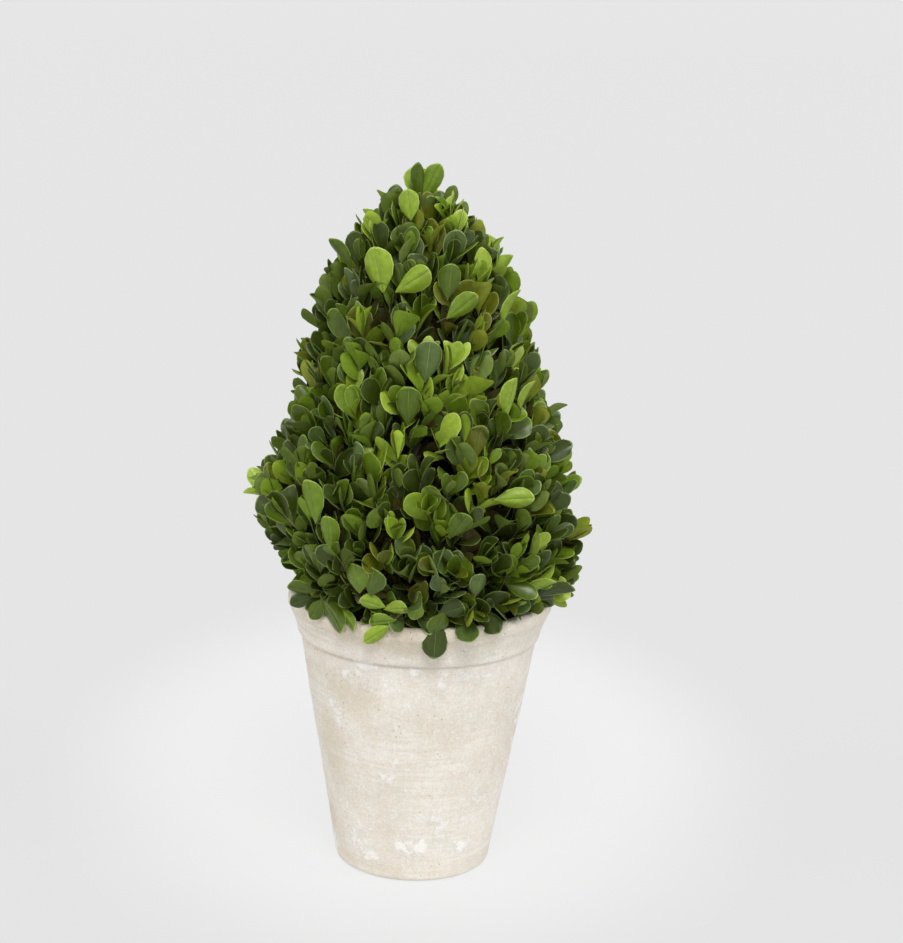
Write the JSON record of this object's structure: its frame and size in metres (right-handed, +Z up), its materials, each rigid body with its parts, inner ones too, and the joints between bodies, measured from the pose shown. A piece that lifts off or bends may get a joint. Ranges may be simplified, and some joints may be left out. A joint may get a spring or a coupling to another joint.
{
  "type": "boxwood cone topiary in a pot",
  "caption": "Clipped cone of small-leaved boxwood, full to the rim, standing in a tapered, limewashed clay pot with a flared rim.",
  "frame": {"origin": "centre of the pot's flat underside", "axes": "+Z up along the pot's axis, -Y towards the front of the object, +X to its right as seen from the front"},
  "size_m": [0.2375, 0.2354, 0.504],
  "materials": {
    "pot": "matt limewashed clay, pitted and stained",
    "soil": "damp potting mix of bark and peat",
    "bark": "matt, finely fissured, grey-brown",
    "foliage": "satin leaves, yellow-green beneath"
  },
  "bodies": {
    "root": {"pot": "pot", "soil": "soil", "trunk": "bark", "bough_foot_1": "bark", "bough_foot_2": "bark", "bough_foot_3": "bark", "bough_foot_4": "bark", "bough_foot_5": "bark", "bough_lower_1": "bark", "bough_lower_2": "bark", "bough_lower_3": "bark", "bough_lower_4": "bark", "bough_lower_5": "bark", "bough_middle_1": "bark", "bough_middle_2": "bark", "bough_middle_3": "bark", "bough_middle_4": "bark", "bough_upper_1": "bark", "bough_upper_2": "bark", "bough_upper_3": "bark", "foliage_foot_1": "foliage", "foliage_foot_2": "foliage", "foliage_foot_3": "foliage", "foliage_foot_4": "foliage", "foliage_foot_5": "foliage", "foliage_lower_1": "foliage", "foliage_lower_2": "foliage", "foliage_lower_3": "foliage", "foliage_lower_4": "foliage", "foliage_lower_5": "foliage", "foliage_middle_1": "foliage", "foliage_middle_2": "foliage", "foliage_middle_3": "foliage", "foliage_middle_4": "foliage", "foliage_upper_1": "foliage", "foliage_upper_2": "foliage", "foliage_upper_3": "foliage", "foliage_tip": "foliage"}
  },
  "joints": []
}
